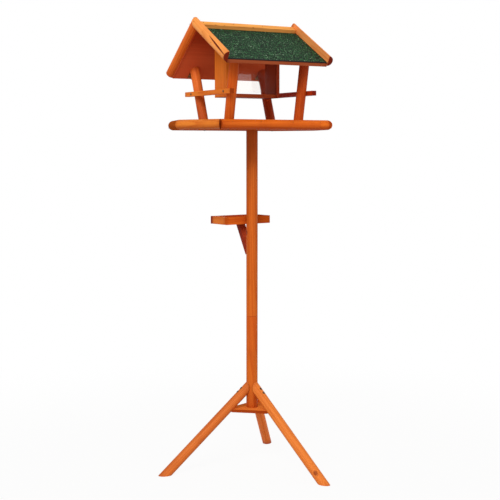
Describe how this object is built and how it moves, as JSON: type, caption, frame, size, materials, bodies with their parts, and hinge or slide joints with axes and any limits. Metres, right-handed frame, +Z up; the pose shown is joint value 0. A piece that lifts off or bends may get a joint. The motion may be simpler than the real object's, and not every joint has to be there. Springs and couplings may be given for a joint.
{
  "type": "bird table",
  "caption": "Free-standing covered feeding table on a round pole with splayed legs: long hexagonal tray, felted pitched roof that tilts open over a clear-sided feed silo.",
  "frame": {"origin": "on the ground, under the middle of the table's overall box", "axes": "+Z up along the pole; +X to the right along the roof's ridge; the front faces -Y"},
  "size_m": [0.4586, 0.4424, 1.1757],
  "materials": {
    "stained_wood": "orange-brown stain, satin",
    "roofing_felt": "dark green mineral surface",
    "clear_pane": "clear acrylic, smooth",
    "screw_steel": "zinc plated",
    "hinge_metal": "brass plated"
  },
  "bodies": {
    "stand": {"pole": "stained_wood", "leg_left": "stained_wood", "leg_rear": "stained_wood", "leg_right": "stained_wood", "spreader_plate": "stained_wood", "tray_board": "stained_wood", "tray_rim_front": "stained_wood", "tray_rim_front_right": "stained_wood", "tray_rim_rear_right": "stained_wood", "tray_rim_rear": "stained_wood", "tray_rim_rear_left": "stained_wood", "tray_rim_front_left": "stained_wood", "perch_left": "stained_wood", "perch_right": "stained_wood", "post_front_left": "stained_wood", "post_rear_left": "stained_wood", "post_front_right": "stained_wood", "post_rear_right": "stained_wood", "silo_end_left": "stained_wood", "silo_end_right": "stained_wood", "silo_floor": "stained_wood", "bracket_long_near": "stained_wood", "bracket_long_far": "stained_wood", "bracket_short_left": "stained_wood", "bracket_short_right": "stained_wood", "bracket_base": "stained_wood", "bracket_brace": "stained_wood", "silo_pane_front": "clear_pane", "silo_pane_rear": "clear_pane", "leg_screws_left": "screw_steel", "leg_screws_rear": "screw_steel", "leg_screws_right": "screw_steel", "perch_screws_left": "screw_steel", "perch_screws_right": "screw_steel", "post_screws": "screw_steel", "bracket_screws": "screw_steel", "hinge_pin_left": "hinge_metal", "hinge_pin_right": "hinge_metal", "hinge_leaf_post_left": "hinge_metal", "hinge_leaf_post_right": "hinge_metal"},
    "roof": {"roof_panel_front": "stained_wood", "roof_panel_rear": "stained_wood", "roof_felt_front": "roofing_felt", "roof_felt_rear": "roofing_felt", "ridge_batten_front": "stained_wood", "ridge_batten_rear": "stained_wood", "gable_strip_front_left": "stained_wood", "gable_strip_front_right": "stained_wood", "gable_strip_rear_left": "stained_wood", "gable_strip_rear_right": "stained_wood", "hinge_leaf_roof_left": "hinge_metal", "hinge_leaf_roof_right": "hinge_metal"}
  },
  "joints": [
    {"name": "roof_hinge", "type": "hinge", "parent": "stand", "child": "roof", "pos_m": [0.01767, 0.14326, 1.04209], "axis": [-1, 0, 0], "range_deg": [0, 60]}
  ]
}
